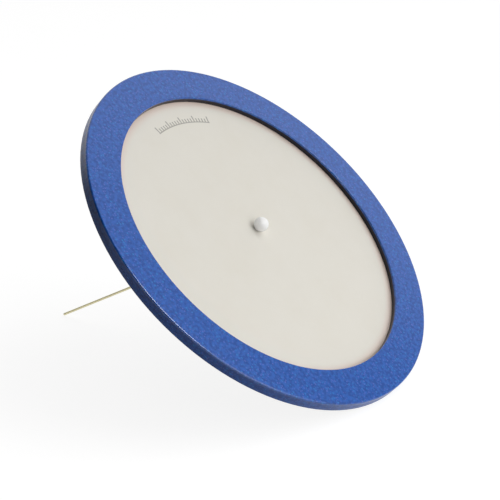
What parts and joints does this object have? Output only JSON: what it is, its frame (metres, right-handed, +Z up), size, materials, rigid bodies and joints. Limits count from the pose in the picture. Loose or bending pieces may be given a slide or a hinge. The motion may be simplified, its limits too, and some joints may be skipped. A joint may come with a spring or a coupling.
{
  "type": "flat ring disc with prop rod",
  "caption": "Flat disc with a wide speckled ring round a taut recessed sheet, a ball bead near its middle and a thin swivelling prop rod behind.",
  "frame": {"origin": "on the ground, at the middle of the footprint of the disc and its rod", "axes": "+Z up; the disc faces -Y and leans back, the rod points to +Y; X = 0 is the mirror plane"},
  "size_m": [0.305, 0.3082, 0.213],
  "materials": {
    "ring_core": "semi-gloss blue round the outside, satin black at the window and behind",
    "facing": "semi-gloss with fine light-blue flecks",
    "sheet": "coated film, matt",
    "bead": "glossy white",
    "washer": "matt fibre",
    "socket": "smooth off-white",
    "rod": "drawn and slightly dulled"
  },
  "bodies": {
    "disc": {"front_ring": "ring_core", "face_laminate": "facing", "head_sheet": "sheet", "back_ring": "ring_core"},
    "hub": {"bead": "bead", "rear_washer": "washer", "rod_socket": "socket"},
    "prop": {"rod": "rod"}
  },
  "joints": [
    {"name": "seat_turn", "type": "hinge", "parent": "disc", "child": "hub", "pos_m": [0, -0.03646, 0.10825], "axis": [0, -0.6798, 0.7334], "continuous": true},
    {"name": "rod_tilt", "type": "hinge", "parent": "hub", "child": "prop", "pos_m": [0, -0.02538, 0.0963], "axis": [-1, 0, 0], "range_deg": [0, 38.2]}
  ]
}
